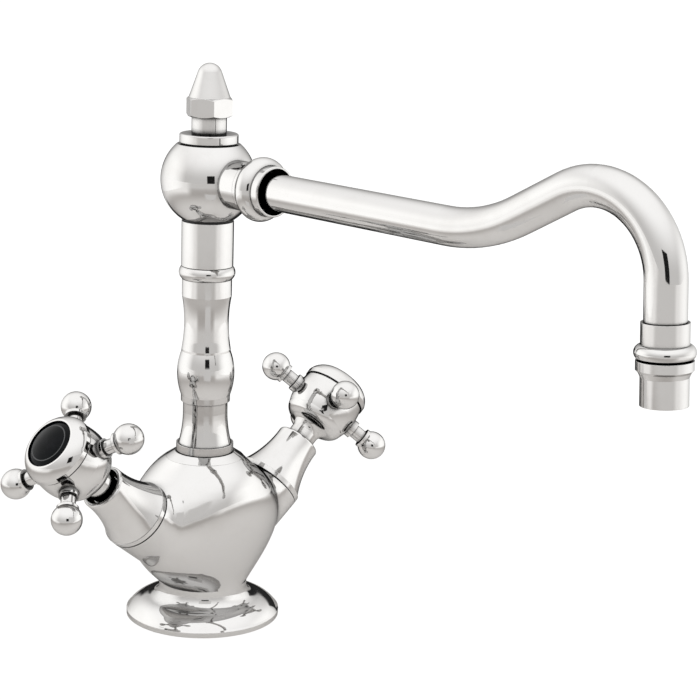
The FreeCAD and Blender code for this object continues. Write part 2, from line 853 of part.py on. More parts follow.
def swivel_spigot():
    """Fixed hollow spigot that the ball turns on, with two O-ring grooves and water windows."""
    bottom = spigot_floor + dim.slip_gap
    bore = dim.spigot_radius - dim.spigot_wall - dim.spigot_thread_step
    bore_top = ball_height + dim.spigot_bore_rise
    half = dim.o_ring_width / 2
    steps = [
        line_to(spigot_thread, bottom),
        line_to(spigot_thread, column_top),
        line_to(dim.spigot_radius, column_top),
    ]
    for height in o_ring_heights:
        steps.append(line_to(dim.spigot_radius, height - half))
        steps.append(line_to(o_ring_seat, height - half))
        steps.append(line_to(o_ring_seat, height + half))
        steps.append(line_to(dim.spigot_radius, height + half))
    steps += [
        line_to(dim.spigot_radius, flange_seat),
        line_to(dim.stem_radius, flange_seat),
        line_to(dim.stem_radius, stem_top),
        line_to(0, stem_top),
        line_to(0, bore_top),
        line_to(bore, bore_top),
    ]
    body = turned("swivel_spigot", (bore, bottom), steps)
    sketch = new_sketch(body, "spigot_window", "XZ_Plane")
    ring_of(sketch, 0, ball_height, dim.window_radius)
    pocket(body, "spigot_window_cut", sketch, dim.spigot_radius * 3, through=True)


def spigot_o_rings():
    outer = dim.spigot_radius + dim.running_fit / 2
    for label, height in zip(("lower_o_ring", "upper_o_ring"), o_ring_heights):
        torus(label, outer, o_ring_seat, height)


def thrust_washers():
    bore = dim.spigot_radius + dim.running_fit
    outer = bore + dim.washer_width
    lower_top = sleeve_top + dim.lower_washer
    turned("lower_thrust_washer", *tube_steps(outer, bore, sleeve_top, lower_top))
    turned("upper_thrust_washer", *tube_steps(outer, bore, ball_top + dim.slip_gap, flange_seat))


def retaining_flange():
    bore = dim.stem_radius + dim.thread_fit
    neck = bore + dim.flange_neck_wall
    turned("retaining_flange", (bore, flange_seat), [
        line_to(dim.flange_radius, flange_seat),
        line_to(dim.flange_radius, flange_top - dim.flange_round),
        arc_to(dim.flange_radius - dim.flange_round, flange_top, dim.flange_round, LEFT),
        line_to(neck, flange_top),
        line_to(neck, finial_seat),
        line_to(bore, finial_seat),
    ])


def finial_nut():
    """Hexagon nut with chamfered corners, an acorn on top and a blind thread."""
    body = new_body("finial_nut")
    hex_top = finial_seat + dim.hex_height
    tip = hex_top + dim.acorn_height
    flat = dim.hex_radius * HEX_SIDE
    sketch = new_sketch(body, "finial_hex", "XY_Plane", {"z": finial_seat})
    hexagon(sketch, dim.hex_radius)
    pad(body, "finial_hex_pad", sketch, dim.hex_height)
    acorn = new_sketch(body, "finial_acorn", "XZ_Plane")
    draw(acorn, (0, hex_top), [
        line_to(flat - dim.acorn_inset, hex_top),
        line_to(dim.acorn_tip_radius, tip - dim.acorn_tip_height),
        arc_to(0, tip, quarter_arc(dim.acorn_tip_radius, dim.acorn_tip_height), LEFT),
    ])
    revolve(body, "finial_acorn_turned", acorn)
    outside = dim.hex_radius + dim.tool_overshoot
    bevel = dim.hex_chamfer
    for name, face, inward in (("finial_low", finial_seat, bevel), ("finial_high", hex_top, -bevel)):
        corner = new_sketch(body, name, "XZ_Plane")
        draw(corner, (flat, face), [line_to(outside, face), line_to(outside, face + inward)])
        revolve(body, name + "_bevel", corner, cut=True)
    thread = new_sketch(body, "finial_thread", "XZ_Plane")
    radius = dim.stem_radius + dim.thread_fit
    ceiling = stem_top + dim.slip_gap * 2
    draw(thread, (0, finial_seat), [
        line_to(radius, finial_seat),
        line_to(radius, ceiling),
        line_to(0, ceiling),
    ])
    revolve(body, "finial_thread_cut", thread, cut=True)


# Hot and cold valves


def bonnet(prefix, side):
    """Flared cover over the cartridge, screwed onto its guide."""
    rim_top = dim.seat_reach + dim.bonnet_rim
    shoulder = bonnet_top - dim.bonnet_round
    outer = bonnet_mouth + dim.bonnet_lip
    thread = cartridge_guide + dim.thread_fit
    thread_bottom = bonnet_top - dim.bonnet_thread_drop
    thread_top = thread_bottom + dim.bonnet_thread_length
    hex_room = cartridge_hex + dim.cartridge_hex_height + dim.bonnet_hex_gap
    piece = turned(prefix + "bonnet", (dim.horn_radius - dim.bonnet_wall, dim.seat_reach), [
        line_to(dim.horn_radius - dim.bonnet_seam, dim.seat_reach),
        line_to(dim.horn_radius, dim.seat_reach + dim.bonnet_seam),
        line_to(dim.horn_radius, rim_top),
        line_to(dim.horn_radius - dim.bonnet_rim_step, rim_top),
        arc_to(outer, shoulder, dim.bonnet_arc, RIGHT),
        arc_to(outer - dim.bonnet_round, bonnet_top, dim.bonnet_round, LEFT),
        line_to(bonnet_mouth, bonnet_top),
        line_to(bonnet_mouth, thread_top),
        line_to(thread, thread_top),
        line_to(thread, thread_bottom),
        line_to(cartridge_hex_radius + dim.bonnet_hex_gap, hex_room),
    ])
    on_horn(piece, side)


def headwork(prefix, side):
    """Threaded brass cartridge body with its hexagon, guide and side windows."""
    name = prefix + "headwork"
    bottom = cartridge_floor + dim.cartridge_nose_gap
    cavity = disc_radius + dim.running_fit
    cavity_top = spindle_foot + dim.spindle_foot_height + dim.slip_gap
    nose = cavity + dim.cartridge_nose_wall
    thread = dim.cartridge_bore - dim.thread_fit
    thread_bottom = dim.seat_reach - dim.cartridge_thread_length
    bore = dim.spindle_radius + dim.running_fit
    body = turned(name, (cavity, bottom), [
        line_to(nose, bottom),
        line_to(nose, thread_bottom),
        line_to(thread, thread_bottom),
        line_to(thread, cartridge_hex),
        line_to(cartridge_guide, cartridge_hex),
        line_to(cartridge_guide, cartridge_top),
        line_to(bore, cartridge_top),
        line_to(bore, cavity_top),
        line_to(cavity, cavity_top),
    ])
    sketch = new_sketch(body, name + "_hex", "XY_Plane", {"z": cartridge_hex})
    hexagon(sketch, cartridge_hex_radius)
    ring_of(sketch, 0, 0, (bore + cartridge_guide) / 2)
    pad(body, name + "_hex_pad", sketch, dim.cartridge_hex_height)
    opening = new_sketch(body, name + "_window", "XZ_Plane")
    ring_of(opening, 0, moving_disc_bottom, dim.cartridge_window)
    pocket(body, name + "_window_cut", opening, nose * 3, through=True)
    on_horn(body, side)


def ported_disc(label, bottom, side):
    """A ceramic disc with two opposite ports."""
    body = new_body(label)
    sketch = new_sketch(body, label + "_outline", "XY_Plane", {"z": bottom})
    ring_of(sketch, 0, 0, disc_radius)
    ring_of(sketch, dim.disc_port_offset, 0, dim.disc_port)
    ring_of(sketch, -dim.disc_port_offset, 0, dim.disc_port)
    pad(body, label + "_pad", sketch, dim.disc_thickness)
    on_horn(body, side)


def valve_seals(prefix, side):
    """Seat seal under the discs and the washer under the cartridge's hexagon."""
    seat = tube_steps(disc_radius, disc_radius - dim.seal_width, cartridge_floor, disc_bottom)
    edge = cartridge_hex_radius * HEX_SIDE
    bore = dim.cartridge_bore + dim.slip_gap
    washer = tube_steps(edge, bore, dim.seat_reach, cartridge_hex)
    on_horn(turned(prefix + "seat_seal", *seat), side)
    on_horn(turned(prefix + "headwork_washer", *washer), side)


def spindle(prefix, side):
    """Stem that turns the moving disc, grooved for its O-ring and clip and tapped for the screw."""
    foot_top = spindle_foot + dim.spindle_foot_height
    half = dim.o_ring_width / 2
    clip_bottom = cartridge_top + dim.slip_gap
    clip_top = clip_bottom + dim.clip_thickness + dim.slip_gap * 2
    shoulder = hub_bottom - dim.hub_seat_gap
    tapped = dim.screw_radius + dim.thread_fit
    tap_floor = hub_web_top - dim.screw_length - dim.screw_runout
    piece = turned(prefix + "spindle", (0, spindle_foot), [
        line_to(disc_radius, spindle_foot),
        line_to(disc_radius, foot_top),
        line_to(dim.spindle_radius, foot_top),
        line_to(dim.spindle_radius, spindle_seal - half),
        line_to(spindle_seal_seat, spindle_seal - half),
        line_to(spindle_seal_seat, spindle_seal + half),
        line_to(dim.spindle_radius, spindle_seal + half),
        line_to(dim.spindle_radius, clip_bottom),
        line_to(clip_seat, clip_bottom),
        line_to(clip_seat, clip_top),
        line_to(dim.spindle_radius, clip_top),
        line_to(dim.spindle_radius, shoulder),
        line_to(spline_radius, shoulder),
        line_to(spline_radius, spindle_top),
        line_to(tapped, spindle_top),
        line_to(tapped, tap_floor),
        line_to(0, tap_floor),
    ])
    on_horn(piece, side)


def spindle_rings(prefix, side):
    """O-ring in the spindle's groove and the clip that keeps the spindle in."""
    outer = dim.spindle_radius + dim.running_fit / 2
    on_horn(torus(prefix + "spindle_o_ring", outer, spindle_seal_seat, spindle_seal), side)
    bottom = cartridge_top + dim.slip_gap * 2
    inner = clip_seat + dim.slip_gap
    profile = tube_steps(inner + dim.clip_width, inner, bottom, bottom + dim.clip_thickness)
    on_horn(turned(prefix + "spindle_clip", *profile), side)


# Cross handles


def handle(prefix, side, arm_turn):
    """Bell hub with a spindle socket below, a cavity above and four ball-ended arms."""
    name = prefix + "handle"
    socket = spline_radius + dim.thread_fit
    screw_hole = dim.screw_radius + dim.thread_fit * 2
    crown = dim.hub_radius - dim.hub_crown_inset
    body = turned(name, (socket, hub_bottom), [
        line_to(hub_neck_radius, hub_bottom),
        line_to(hub_neck_radius, hub_neck_top),
        arc_to(hub_neck_radius + dim.hub_cove_flare, hub_cove_top, dim.hub_cove, RIGHT),
        arc_to(dim.hub_radius - dim.hub_bell_inset, hub_bell_top, dim.hub_bell, LEFT),
        arc_to(dim.hub_radius, hub_middle, dim.hub_side_arc, LEFT),
        arc_to(crown, hub_top, dim.hub_crown_arc, LEFT),
        line_to(hub_cavity, hub_top),
        line_to(hub_cavity, hub_web_top),
        line_to(screw_hole, hub_web_top),
        line_to(screw_hole, hub_web_bottom),
        line_to(socket, hub_web_bottom),
    ])
    sketch = new_sketch(body, name + "_arm", "XZ_Plane", {"y": hub_middle}, arm_turn)
    inside = (hub_cavity + dim.hub_radius) / 2
    collar_end = dim.hub_radius + dim.arm_collar_reach
    reach = dim.hub_radius + dim.arm_reach
    ring_end = reach - root(dim.arm_ball * dim.arm_ball - dim.arm_ring * dim.arm_ring)
    ring_start = ring_end - dim.arm_ring_width
    draw(sketch, (inside, 0), [
        line_to(inside, dim.arm_collar),
        line_to(collar_end, dim.arm_collar),
        line_to(collar_end, dim.arm_radius),
        line_to(ring_start, dim.arm_radius),
        line_to(ring_start, dim.arm_ring),
        line_to(ring_end, dim.arm_ring),
        arc_to(reach, dim.arm_ball, dim.arm_ball, RIGHT),
        arc_to(reach + dim.arm_ball, 0, dim.arm_ball, RIGHT),
    ])
    arm = revolve(body, name + "_arm_turned", sketch, "H_Axis")
    polar(body, name + "_arms", arm, dim.arm_count)
    on_horn(body, side)


def bezel(prefix, side):
    """Domed ring on the hub, with a skirt below and a seat for the button."""
    skirt = hub_cavity - dim.thread_fit
    skirt_bottom = hub_top - dim.bezel_skirt
    skirt_bore = skirt - dim.bezel_skirt_wall
    groove = dim.hub_radius - dim.bezel_groove
    outer = dim.hub_radius - dim.bezel_inset
    band = hub_top + dim.bezel_groove_height
    top = hub_top + dim.bezel_height
    mouth = button_radius + dim.slip_gap
    seat = hub_top + dim.button_seat
    piece = turned(prefix + "bezel", (skirt_bore, skirt_bottom), [
        line_to(skirt, skirt_bottom),
        line_to(skirt, hub_top),
        line_to(groove, hub_top),
        line_to(groove, band),
        line_to(outer, band),
        line_to(outer, hub_top + dim.bezel_band),
        arc_to(mouth + dim.bezel_groove_height, top, dim.bezel_dome, LEFT),
        line_to(mouth, top),
        line_to(mouth, seat),
        line_to(skirt_bore, seat),
    ])
    on_horn(piece, side)


def index_button(prefix, side):
    bottom = hub_top + dim.button_seat + dim.slip_gap
    edge = bottom + dim.button_side
    piece = turned(prefix + "index_button", (0, bottom), [
        line_to(button_radius, bottom),
        line_to(button_radius, edge),
        arc_to(0, edge + dim.button_crown, quarter_arc(button_radius, dim.button_crown), LEFT),
    ])
    on_horn(piece, side)


def handle_screw(prefix, side):
    """Socket-head screw that holds the handle on its spindle."""
    name = prefix + "handle_screw"
    seat = hub_web_top + dim.slip_gap
    top = seat + dim.screw_head_height
    head = dim.screw_radius + dim.screw_head_step
    body = turned(name, (0, seat - dim.screw_length), [
        line_to(dim.screw_radius, seat - dim.screw_length),
        line_to(dim.screw_radius, seat),
        line_to(head, seat),
        line_to(head, top),
        line_to(0, top),
    ])
    floor = top - dim.screw_socket_depth
    sketch = new_sketch(body, name + "_socket", "XY_Plane", {"z": floor})
    hexagon(sketch, dim.screw_socket)
    pocket(body, name + "_socket_cut", sketch, dim.screw_socket_depth)
    on_horn(body, side)


def valve(prefix, side, arm_turn):
    bonnet(prefix, side)
    headwork(prefix, side)
    valve_seals(prefix, side)
    ported_disc(prefix + "fixed_disc", disc_bottom, side)
    ported_disc(prefix + "moving_disc", moving_disc_bottom, side)
    spindle(prefix, side)
    spindle_rings(prefix, side)
    handle(prefix, side, arm_turn)
    bezel(prefix, side)
    index_button(prefix, side)
    handle_screw(prefix, side)


# Spout


def ball_hub():
    """Ball with a vertical bore, a water chamber and a threaded boss for the union."""
    bore = dim.spigot_radius + dim.running_fit
    ball = dim.ball_radius
    low = root(ball * ball - dim.ball_bottom_cut * dim.ball_bottom_cut)
    high = root(ball * ball - dim.ball_top_cut * dim.ball_top_cut)
    body = turned("ball_hub", (bore, ball_bottom), [
        line_to(low, ball_bottom),
        arc_to(high, ball_top, ball, LEFT),
        line_to(bore, ball_top),
    ])
    lift = {"y": ball_height}
    chamber_wall = bore + dim.ball_chamber_depth
    boss = new_sketch(body, "ball_boss", "YZ_Plane", lift)
    draw(boss, (-chamber_wall, 0), [
        line_to(-chamber_wall, dim.boss_radius),
        line_to(-boss_step, dim.boss_radius),
        line_to(-boss_step, boss_thread),
        line_to(-boss_end, boss_thread),
        line_to(-boss_end, 0),
    ])
    revolve(body, "ball_boss_turned", boss, "H_Axis")
    inside = dim.spigot_radius
    low_wall = ball_height - dim.ball_chamber_half
    high_wall = ball_height + dim.ball_chamber_half
    chamber = new_sketch(body, "ball_chamber", "XZ_Plane")
    draw(chamber, *tube_steps(chamber_wall, inside, low_wall, high_wall))
    revolve(body, "ball_chamber_cut", chamber, cut=True)
    passage = new_sketch(body, "ball_passage", "YZ_Plane", lift)
    draw(passage, (-inside, 0), [
        line_to(-inside, dim.boss_bore),
        line_to(-boss_end, dim.boss_bore),
        line_to(-boss_end, 0),
    ])
    revolve(body, "ball_passage_cut", passage, "H_Axis", cut=True)


def union_nut():
    """Rounded nut on the boss, whose front lip stands around the tube."""
    thread = boss_thread + dim.thread_fit
    outer = dim.boss_radius + dim.union_rim
    back = boss_step + dim.slip_gap
    bead_start = back + dim.union_rim_width
    bead_end = bead_start + dim.union_bead_width
    bead = bulge_arc(dim.union_bead_width, dim.union_bead_bulge)
    front = bead_end + dim.union_lip_width
    recess = dim.tube_radius + dim.union_recess_gap
    lip = recess + dim.union_lip_wall
    recess_floor = front - dim.union_recess_depth
    hole = dim.tube_radius + dim.slip_gap
    collar = tube_collar + dim.slip_gap
    collar_end = tube_start + dim.tube_collar_width + dim.slip_gap
    piece = turned("union_nut", (thread, back), [
        line_to(outer, back),
        line_to(outer, bead_start),
        arc_to(outer, bead_end, bead, LEFT),
        line_to(lip, bead_end),
        line_to(lip, front - dim.union_lip_round),
        arc_to(lip - dim.union_lip_round, front, dim.union_lip_round, LEFT),
        line_to(recess, front),
        line_to(recess, recess_floor),
        line_to(hole, recess_floor),
        line_to(hole, collar_end),
        line_to(collar, collar_end),
        line_to(collar, tube_start - dim.slip_gap),
        line_to(thread, tube_start - dim.slip_gap),
    ])
    on_spout(piece)


def union_seal():
    profile = tube_steps(tube_collar, dim.boss_bore, boss_end, tube_start)
    on_spout(turned("union_seal", *profile))


def spout_tube():
    """Straight run, gentle rise, crown and drop, swept as one hollow tube with a root collar."""
    body = new_body("spout_tube")
    spine = new_sketch(body, "spout_spine", "YZ_Plane")
    draw(spine, (-tube_start, ball_height), [
        line_to(-dim.tube_straight, ball_height),
        arc_to(-rise_reach, rise_height, dim.tube_rise_arc, RIGHT),
        line_to(-slope_reach, slope_height),
        arc_to(-crown_reach, crown_middle + dim.tube_crown_arc, dim.tube_crown_arc, LEFT),
        arc_to(-crown_end_reach, crown_end_height, dim.tube_crown_arc, LEFT),
        line_to(-drop_reach, drop_height),
    ], closed=False)
    section = new_sketch(body, "spout_section", "XZ_Plane", {"z": tube_start})
    ring_of(section, 0, ball_height, dim.tube_radius)
    ring_of(section, 0, ball_height, tube_bore)
    pipe = body.newObject("PartDesign::AdditivePipe", "spout_pipe")
    pipe.Profile = section
    pipe.Spine = spine
    collar = new_sketch(body, "spout_collar", "YZ_Plane", {"y": ball_height})
    collar_end = tube_start + dim.tube_collar_width
    inside = (dim.tube_radius + tube_bore) / 2
    draw(collar, (-tube_start, inside), [
        line_to(-tube_start, tube_collar),
        line_to(-collar_end, tube_collar),
        line_to(-collar_end, inside),
    ])
    revolve(body, "spout_collar_turned", collar, "H_Axis")


# Nozzle


def nozzle_socket():
    """Sleeve on the tube's end with a bead, threaded inside for the aerator."""
    bead = bulge_arc(dim.nozzle_bead_width, dim.nozzle_bead_bulge)
    bead_top = tube_end + dim.nozzle_bead_rise
    grip = dim.tube_radius + dim.thread_fit
    grip_top = tube_end + dim.nozzle_grip
    thread = nozzle_thread + dim.thread_fit
    stop = tube_end - dim.slip_gap
    piece = turned("nozzle_socket", (thread, nozzle_bottom), [
        line_to(nozzle_sleeve, nozzle_bottom),
        arc_to(nozzle_sleeve, bead_top, bead, LEFT),
        line_to(nozzle_sleeve, grip_top),
        line_to(grip, grip_top),
        line_to(grip, stop),
        line_to(thread, stop),
    ])
    on_nozzle(piece)


def aerator_shell():
    """Screwed outlet with a ring, a taper and an inner lip that carries the flow straightener."""
    ring = nozzle_sleeve + dim.nozzle_ring_step
    edge = dim.nozzle_ring_round
    thread_top = nozzle_bottom + dim.nozzle_thread_length
    throat = nozzle_thread - dim.throat_wall
    lip = outlet_bore - dim.outlet_lip
    piece = turned("aerator_shell", (lip, outlet_bottom), [
        line_to(nozzle_sleeve, outlet_bottom),
        line_to(nozzle_sleeve, taper_bottom),
        line_to(ring - edge, ring_bottom),
        line_to(ring, ring_bottom + edge),
        line_to(ring, nozzle_bottom),
        line_to(nozzle_thread, nozzle_bottom),
        line_to(nozzle_thread, thread_top),
        line_to(throat, thread_top),
        line_to(throat, aerator_washer_top),
        line_to(outlet_bore, aerator_washer_top),
        line_to(outlet_bore, aerator_bottom),
        line_to(lip, aerator_bottom),
    ])
    on_nozzle(piece)


def aerator_core():
    """Flow straightener with a middle hole and a ring of holes."""
    body = new_body("aerator_core")
    sketch = new_sketch(body, "aerator_outline", "XY_Plane", {"z": aerator_bottom})
    ring_of(sketch, 0, 0, outlet_bore - dim.thread_fit)
    ring_of(sketch, 0, 0, dim.aerator_middle)
    pad(body, "aerator_pad", sketch, dim.aerator_height)
    hole = new_sketch(body, "aerator_hole_place", "XY_Plane", {"z": aerator_bottom})
    ring_of(hole, dim.aerator_hole_ring, 0, dim.aerator_hole)
    cut = pocket(body, "aerator_hole_cut", hole, dim.aerator_height)
    polar(body, "aerator_holes", cut, dim.aerator_hole_count)
    on_nozzle(body)


def aerator_washer():
    outer = outlet_bore - dim.thread_fit
    bore = outer - dim.aerator_washer_width
    on_nozzle(turned("aerator_washer", *tube_steps(outer, bore, aerator_top, aerator_washer_top)))


def check(things):
    """Stop if anything failed to build."""
    for thing in doc.Objects:
        bad = [state for state in thing.State if state in ("Invalid", "Error")]
        if bad:
            raise RuntimeError(f"{thing.Label}: {bad}")
    for thing in things:
        if thing.Shape.isNull() or not thing.Shape.isValid():
            raise RuntimeError(f"{thing.Label}: shape is empty or not valid")


def write(things):
    os.makedirs("parts", exist_ok=True)
    for thing in things:
        thing.Shape.exportStep(f"parts/{thing.Label}.step")
        print(f"{thing.Label}: {len(thing.Shape.Solids)} solid, {thing.Shape.Volume:.1f} mm3")


body_casting()
base_gasket()
body_collar()
column_shaft()
sleeve_tube()
swivel_spigot()
spigot_o_rings()
thrust_washers()
retaining_flange()
finial_nut()
valve("hot_", -1, dim.hot_arm_turn)
valve("cold_", 1, dim.cold_arm_turn)
ball_hub()
union_nut()
union_seal()
spout_tube()
nozzle_socket()
aerator_shell()
aerator_core()
aerator_washer()
doc.recompute()
check(subparts)
write(subparts)
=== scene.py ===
# %% [markdown]
# # A polished two-handle mixer faucet
# The solids of the faucet come from its CAD model, already in place and in metres. This lesson
# gives each of them a finish, adds the inlaid rings of the two index buttons, and then builds a
# white light tent around the faucet, because polished plating looks like whatever stands around it.

# %% Load the faucet
import bpy
import json
import math
from mathutils import Euler, Matrix, Vector


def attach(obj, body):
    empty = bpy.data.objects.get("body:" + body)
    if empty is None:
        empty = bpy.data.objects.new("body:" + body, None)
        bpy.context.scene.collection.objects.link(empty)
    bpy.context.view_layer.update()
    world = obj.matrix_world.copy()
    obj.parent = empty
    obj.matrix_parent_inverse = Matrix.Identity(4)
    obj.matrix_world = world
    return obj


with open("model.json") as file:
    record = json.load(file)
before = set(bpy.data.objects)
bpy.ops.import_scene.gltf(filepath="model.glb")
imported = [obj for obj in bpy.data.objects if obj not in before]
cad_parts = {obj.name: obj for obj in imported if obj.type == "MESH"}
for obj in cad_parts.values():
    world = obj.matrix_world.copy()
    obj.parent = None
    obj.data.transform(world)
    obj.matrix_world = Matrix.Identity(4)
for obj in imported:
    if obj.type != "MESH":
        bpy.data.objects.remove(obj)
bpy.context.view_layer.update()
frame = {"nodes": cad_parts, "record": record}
nodes = frame["nodes"]
scene = bpy.context.scene
scene.view_settings.view_transform = "Standard"
bpy.ops.object.select_all(action="DESELECT")
print("pieces loaded:", len(nodes))

# %% [markdown]
# ## The camera
# A long lens keeps the column upright and the handles at nearly one size. The camera looks down
# a little from the front left, and it is turned a touch about its own line of sight. A heading, a
# dip and a roll say that more plainly than three Euler angles, so the angles are made from them.

# %% Place the camera
HEADING = math.radians(-44.86)
DIP = math.radians(13.38)
ROLL = math.radians(1.78)
VIEWPOINT = Vector((-0.5118, -0.5965, 0.2996))
LENS_MM = 102.86
SENSOR_MM = 36
NEAR_CLIP = 0.01

level = Euler((math.radians(90) - DIP, 0, HEADING)).to_matrix()
turned = level @ Matrix.Rotation(ROLL, 3, "Z")
bpy.ops.object.camera_add(location=VIEWPOINT, rotation=turned.to_euler())
camera = bpy.context.object
camera.name = "tent_camera"
camera.data.lens = LENS_MM
camera.data.sensor_width = SENSOR_MM
camera.data.clip_start = NEAR_CLIP
scene.camera = camera
TO_RIGHT = turned.col[0].copy()
TO_CAMERA = turned.col[2].copy()
print("camera looks along", [round(-v, 3) for v in TO_CAMERA])

# %% [markdown]
# ## Helpers for node trees
# Each finish is a small tree of shader nodes. They could be clicked together by hand. In a script,
# three short helpers add a node with its settings, join two sockets and turn a range of values into
# another, so that the cells below read as a list of what feeds what.


# %% Node helpers
def add(tree, kind, inputs=None, **settings):
    """Adds a shader node with its settings and with the values of its free inputs."""
    node = tree.nodes.new("ShaderNode" + kind)
    for name, value in settings.items():
        setattr(node, name, value)
    for name, value in (inputs or {}).items():
        node.inputs[name].default_value = value
    return node


def join(tree, source, target, out=0, into=0):
    """Joins an output of one node to an input of another, by name or by number."""
    tree.links.new(source.outputs[out], target.inputs[into])


def ramp(tree, source, low, high, dark=0.0, light=1.0, out=0):
    """A value that goes smoothly from dark to light as the source goes from low to high."""
    ends = {"From Min": low, "From Max": high, "To Min": dark, "To Max": light}
    node = add(tree, "MapRange", ends, interpolation_type="SMOOTHSTEP")
    join(tree, source, node, out, "Value")
    return node


print("node helpers:", add.__name__, join.__name__, ramp.__name__)

# %% [markdown]
# ## A shared effect: handling marks
# Polished metal is never equally clean. Fingers and dried water leave soft patches that are a
# little duller, and polishing leaves a fine waviness. Both could be painted as pictures. Here one
# node group makes them from noise in Object coordinates, so every piece has its own marks without
# an image, and each material uses the group with its own size and strength.


# %% Handling marks group
def handling_marks():
    """A node group that puts out patches, the roughness they cause, and a fine waviness."""
    group = bpy.data.node_groups.new("handling_marks", "ShaderNodeTree")
    for name in ("Patch Size", "Clean Roughness", "Dull Roughness"):
        group.interface.new_socket(name, in_out="INPUT", socket_type="NodeSocketFloat")
    for name in ("Patches", "Roughness", "Waviness"):
        group.interface.new_socket(name, in_out="OUTPUT", socket_type="NodeSocketFloat")
    spot = add(group, "TexCoord")
    asked = group.nodes.new("NodeGroupInput")
    given = group.nodes.new("NodeGroupOutput")
    noise = add(group, "TexNoise", {"Detail": 5, "Roughness": 0.62})
    join(group, spot, noise, "Object", "Vector")
    join(group, asked, noise, "Patch Size", "Scale")
    patches = ramp(group, noise, low=0.45, high=0.75)
    dull = add(group, "MapRange")
    join(group, patches, dull, "Result", "Value")
    join(group, asked, dull, "Clean Roughness", "To Min")
    join(group, asked, dull, "Dull Roughness", "To Max")
    waves = add(group, "TexNoise", {"Scale": 260, "Detail": 2})
    join(group, spot, waves, "Object", "Vector")
    join(group, patches, given, "Result", "Patches")
    join(group, dull, given, "Result", "Roughness")
    join(group, waves, given, 0, "Waviness")
    return group


MARKS = handling_marks()
print("nodes in the group:", len(MARKS.nodes))

# %% [markdown]
# ## A finish with marks
# Every finish here is a colour that changes a little where it is dulled. The edges of turned metal
# are broken by a quarter of a millimetre. They could be modelled on every edge, which costs many
# faces. The Bevel node rounds only their shading, and that is enough for the thin bright line that
# a polished edge has.

# %% Blend colours and make a finish
EDGE_ROUNDING = 0.00025
RELIEF_DEPTH = 0.0005


def new_material(name):
    """An empty material, with its tree and its shader."""
    material = bpy.data.materials.new(name)
    material.use_nodes = True
    return material, material.node_tree, material.node_tree.nodes["Principled BSDF"]


def colour_mix(tree, share, first, second, out=0, blend_type="MIX"):
    """Blends two colours, each a plain tone or a node, by the share that a node gives."""
    node = add(tree, "Mix", data_type="RGBA", blend_type=blend_type)
    join(tree, share, node, out, "Factor")
    for name, side in (("A", first), ("B", second)):
        if isinstance(side, tuple):
            node.inputs[name].default_value = (*side, 1)
        else:
            join(tree, side, node, "Result", name)
    return node


def marked_finish(name, clean, dulled, roughness, patch_size, bump, metal=1.0):
    """Metal, rubber or plastic whose colour, gloss and surface vary with handling marks."""
    material, tree, shader = new_material(name)
    wear = {"Patch Size": patch_size, "Clean Roughness": roughness[0], "Dull Roughness": roughness[1]}
    marks = add(tree, "Group", wear, node_tree=MARKS)
    colour = colour_mix(tree, marks, clean, dulled, "Patches")
    join(tree, colour, shader, "Result", "Base Color")
    join(tree, marks, shader, "Roughness", "Roughness")
    soft_edge = add(tree, "Bevel", {"Radius": EDGE_ROUNDING}, samples=6)
    relief = add(tree, "Bump", {"Strength": bump, "Distance": RELIEF_DEPTH})
    join(tree, marks, relief, "Waviness", "Height")
    join(tree, soft_edge, relief, "Normal", "Normal")
    join(tree, relief, shader, "Normal", "Normal")
    shader.inputs["Metallic"].default_value = metal
    return material


print("edges are rounded by", EDGE_ROUNDING * 1000, "mm")

# %% [markdown]
# ## The plating
# Apart from the buttons and a few dark gaps, all that is seen of the faucet is brass with one bright
# plating. A plain mirror could be a Glossy shader. The Principled shader as a metal also has a tint
# for glancing angles, and a grey tint there gives round pieces the thin dark outline that plating
# has in a white tent.

# %% Bright plating
OUTLINE_TINT = (0.55, 0.55, 0.55, 1)

plating = marked_finish(
    "bright_plating", clean=(0.90, 0.893, 0.885), dulled=(0.84, 0.828, 0.815),
    roughness=(0.045, 0.11), patch_size=40, bump=0.02)
plating_shader = plating.node_tree.nodes["Principled BSDF"]
plating_shader.inputs["Specular Tint"].default_value = OUTLINE_TINT
print("plating:", plating.name)

# %% [markdown]
# ## Plating in its own mirror
# The ball, the column and the foot mirror the rest of the faucet, and what they show of it is far
# darker than the tent, because light loses strength each time it meets the plating. A darker metal
# under stronger lamps would show that too, but every other colour would then be too bright. So the
# plating keeps its colour, and Light Path dims it for rays that come from another mirror.

# %% Dim what is mirrored
MIRRORED_SHARE = 0.5555


def darken(material, share, tone, out=0):
    """Multiplies the colour of a finish by a tone, as far as the share from a node goes."""
    tree = material.node_tree
    shader = tree.nodes["Principled BSDF"]
    colour = shader.inputs["Base Color"].links[0].from_node
    darker = colour_mix(tree, share, colour, tone, out, "MULTIPLY")
    join(tree, darker, shader, "Result", "Base Color")


ray = add(plating.node_tree, "LightPath")
darken(plating, ray, (MIRRORED_SHARE,) * 3, "Is Glossy Ray")
print("plating in a mirror keeps", MIRRORED_SHARE, "of its colour")

# %% [markdown]
# ## Painted shade in seams and corners
# Where two pieces meet there is a fine black line, which is shade in a narrow gap, and shade falls in
# the corners too. Here that shade is painted into the colour of the plating. It could be painted on
# each piece by itself, but Ambient Occlusion finds these places, as it measures how much of the space
# around a point is shut in. A shallow shade draws the seams and a deeper, weaker one the corners.
# The paper under the foot is no seam, so both fade out near the floor.

# %% Paint shade into the seams and the corners
UP = Vector((0, 0, 1))
RIM_BOTTOM = 0.002
RIM_TOP = 0.006


def toward(tree, source, direction, out=0):
    """How far a point or a direction lies along another direction."""
    node = add(tree, "VectorMath", {1: direction}, operation="DOT_PRODUCT")
    join(tree, source, node, out)
    return node


